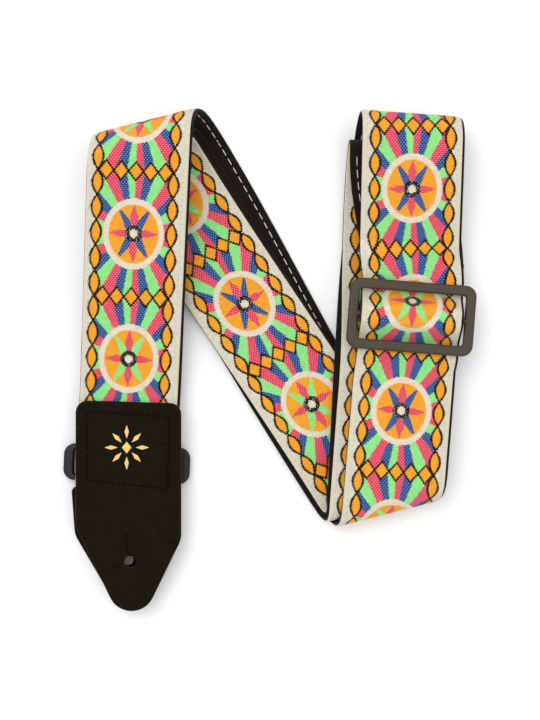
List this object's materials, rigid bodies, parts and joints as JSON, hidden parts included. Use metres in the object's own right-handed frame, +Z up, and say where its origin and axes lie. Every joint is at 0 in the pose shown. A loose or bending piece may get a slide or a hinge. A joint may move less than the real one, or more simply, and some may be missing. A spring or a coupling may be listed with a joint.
{
  "type": "guitar strap",
  "caption": "Wide woven guitar strap folded flat in a zigzag, with leather button-hole ends, a slide adjuster and an end ring; patterned ribbon sewn on black webbing.",
  "frame": {"origin": "on the table, at the centre of the folded strap's bounding box in X and Y", "axes": "+Z up from the table, +X to the right and +Y away from the leather tips, as seen from above"},
  "size_m": [0.2064, 0.2506, 0.0335],
  "materials": {
    "black_webbing": "woven",
    "woven_ribbon": "jacquard woven",
    "black_leather": "grained satin",
    "black_thread": "twisted",
    "slide_plastic": "moulded satin",
    "ring_plastic": "moulded",
    "gold_foil": "hot-stamped foil"
  },
  "bodies": {
    "strap": {"ribbon_base_turn_inner": "woven_ribbon", "ribbon_base_turn_middle": "woven_ribbon", "ribbon_base_turn_outer": "woven_ribbon", "ribbon_diagonal_low": "woven_ribbon", "ribbon_diagonal_middle": "woven_ribbon", "ribbon_diagonal_top": "woven_ribbon", "ribbon_front_high": "woven_ribbon", "ribbon_front_leg": "woven_ribbon", "ribbon_front_low": "woven_ribbon", "ribbon_left_back": "woven_ribbon", "ribbon_left_middle": "woven_ribbon", "ribbon_left_turn_inner": "woven_ribbon", "ribbon_left_turn_middle": "woven_ribbon", "ribbon_left_turn_outer": "woven_ribbon", "ribbon_right_back": "woven_ribbon", "ribbon_right_middle": "woven_ribbon", "ribbon_right_return": "woven_ribbon", "ribbon_ring_turn": "woven_ribbon", "ribbon_top_turn_inner": "woven_ribbon", "ribbon_top_turn_outer": "woven_ribbon", "webbing_base_turn_inner": "black_webbing", "webbing_base_turn_middle": "black_webbing", "webbing_base_turn_outer": "black_webbing", "webbing_diagonal_low": "black_webbing", "webbing_diagonal_middle": "black_webbing", "webbing_diagonal_top": "black_webbing", "webbing_front_high": "black_webbing", "webbing_front_leg": "black_webbing", "webbing_front_low": "black_webbing", "webbing_left_back": "black_webbing", "webbing_left_middle": "black_webbing", "webbing_left_turn_inner": "black_webbing", "webbing_left_turn_middle": "black_webbing", "webbing_left_turn_outer": "black_webbing", "webbing_right_back": "black_webbing", "webbing_right_middle": "black_webbing", "webbing_right_return": "black_webbing", "webbing_ring_turn": "black_webbing", "webbing_top_turn_inner": "black_webbing", "webbing_top_turn_outer": "black_webbing"},
    "front_end": {"webbing_front_tail": "black_webbing", "ribbon_front_tail": "woven_ribbon", "leather_front": "black_leather", "stitching_front": "black_thread", "foil_ornament": "gold_foil"},
    "ring": {"end_ring": "ring_plastic"},
    "rear_end": {"rear_tab": "black_webbing", "leather_rear": "black_leather", "stitching_rear": "black_thread"},
    "slide": {"slide_frame": "slide_plastic", "webbing_front_hump": "black_webbing", "ribbon_front_hump": "woven_ribbon", "webbing_slide_loop": "black_webbing", "ribbon_slide_loop": "woven_ribbon", "stitching_slide_loop": "black_thread"}
  },
  "joints": [
    {"name": "front_end_lift", "type": "hinge", "parent": "strap", "child": "front_end", "pos_m": [-0.06895, -0.01789, 0.0114], "axis": [-0.9985, 0.0541, 0], "range_deg": [0, 80]},
    {"name": "ring_swing", "type": "hinge", "parent": "strap", "child": "ring", "pos_m": [-0.07076, -0.04477, 0.0043], "axis": [-0.9991, 0.0419, 0], "range_deg": [0, 22]},
    {"name": "rear_end_swing", "type": "hinge", "parent": "ring", "child": "rear_end", "pos_m": [-0.0714, -0.06015, 0.0043], "axis": [-0.9991, 0.0419, 0], "range_deg": [0, 44]},
    {"name": "slide_travel", "type": "slide", "parent": "strap", "child": "slide", "axis": [0.0785, 0.9969, 0], "range_m": [0, 0.014], "deforming": ["webbing_front_low", "ribbon_front_low", "webbing_front_high", "ribbon_front_high", "webbing_right_return", "ribbon_right_return"]}
  ],
  "couplings": [
    {"joint": "ring_swing", "follows": "front_end_lift", "ratio": 0.25},
    {"joint": "rear_end_swing", "follows": "front_end_lift", "ratio": 0.5}
  ]
}
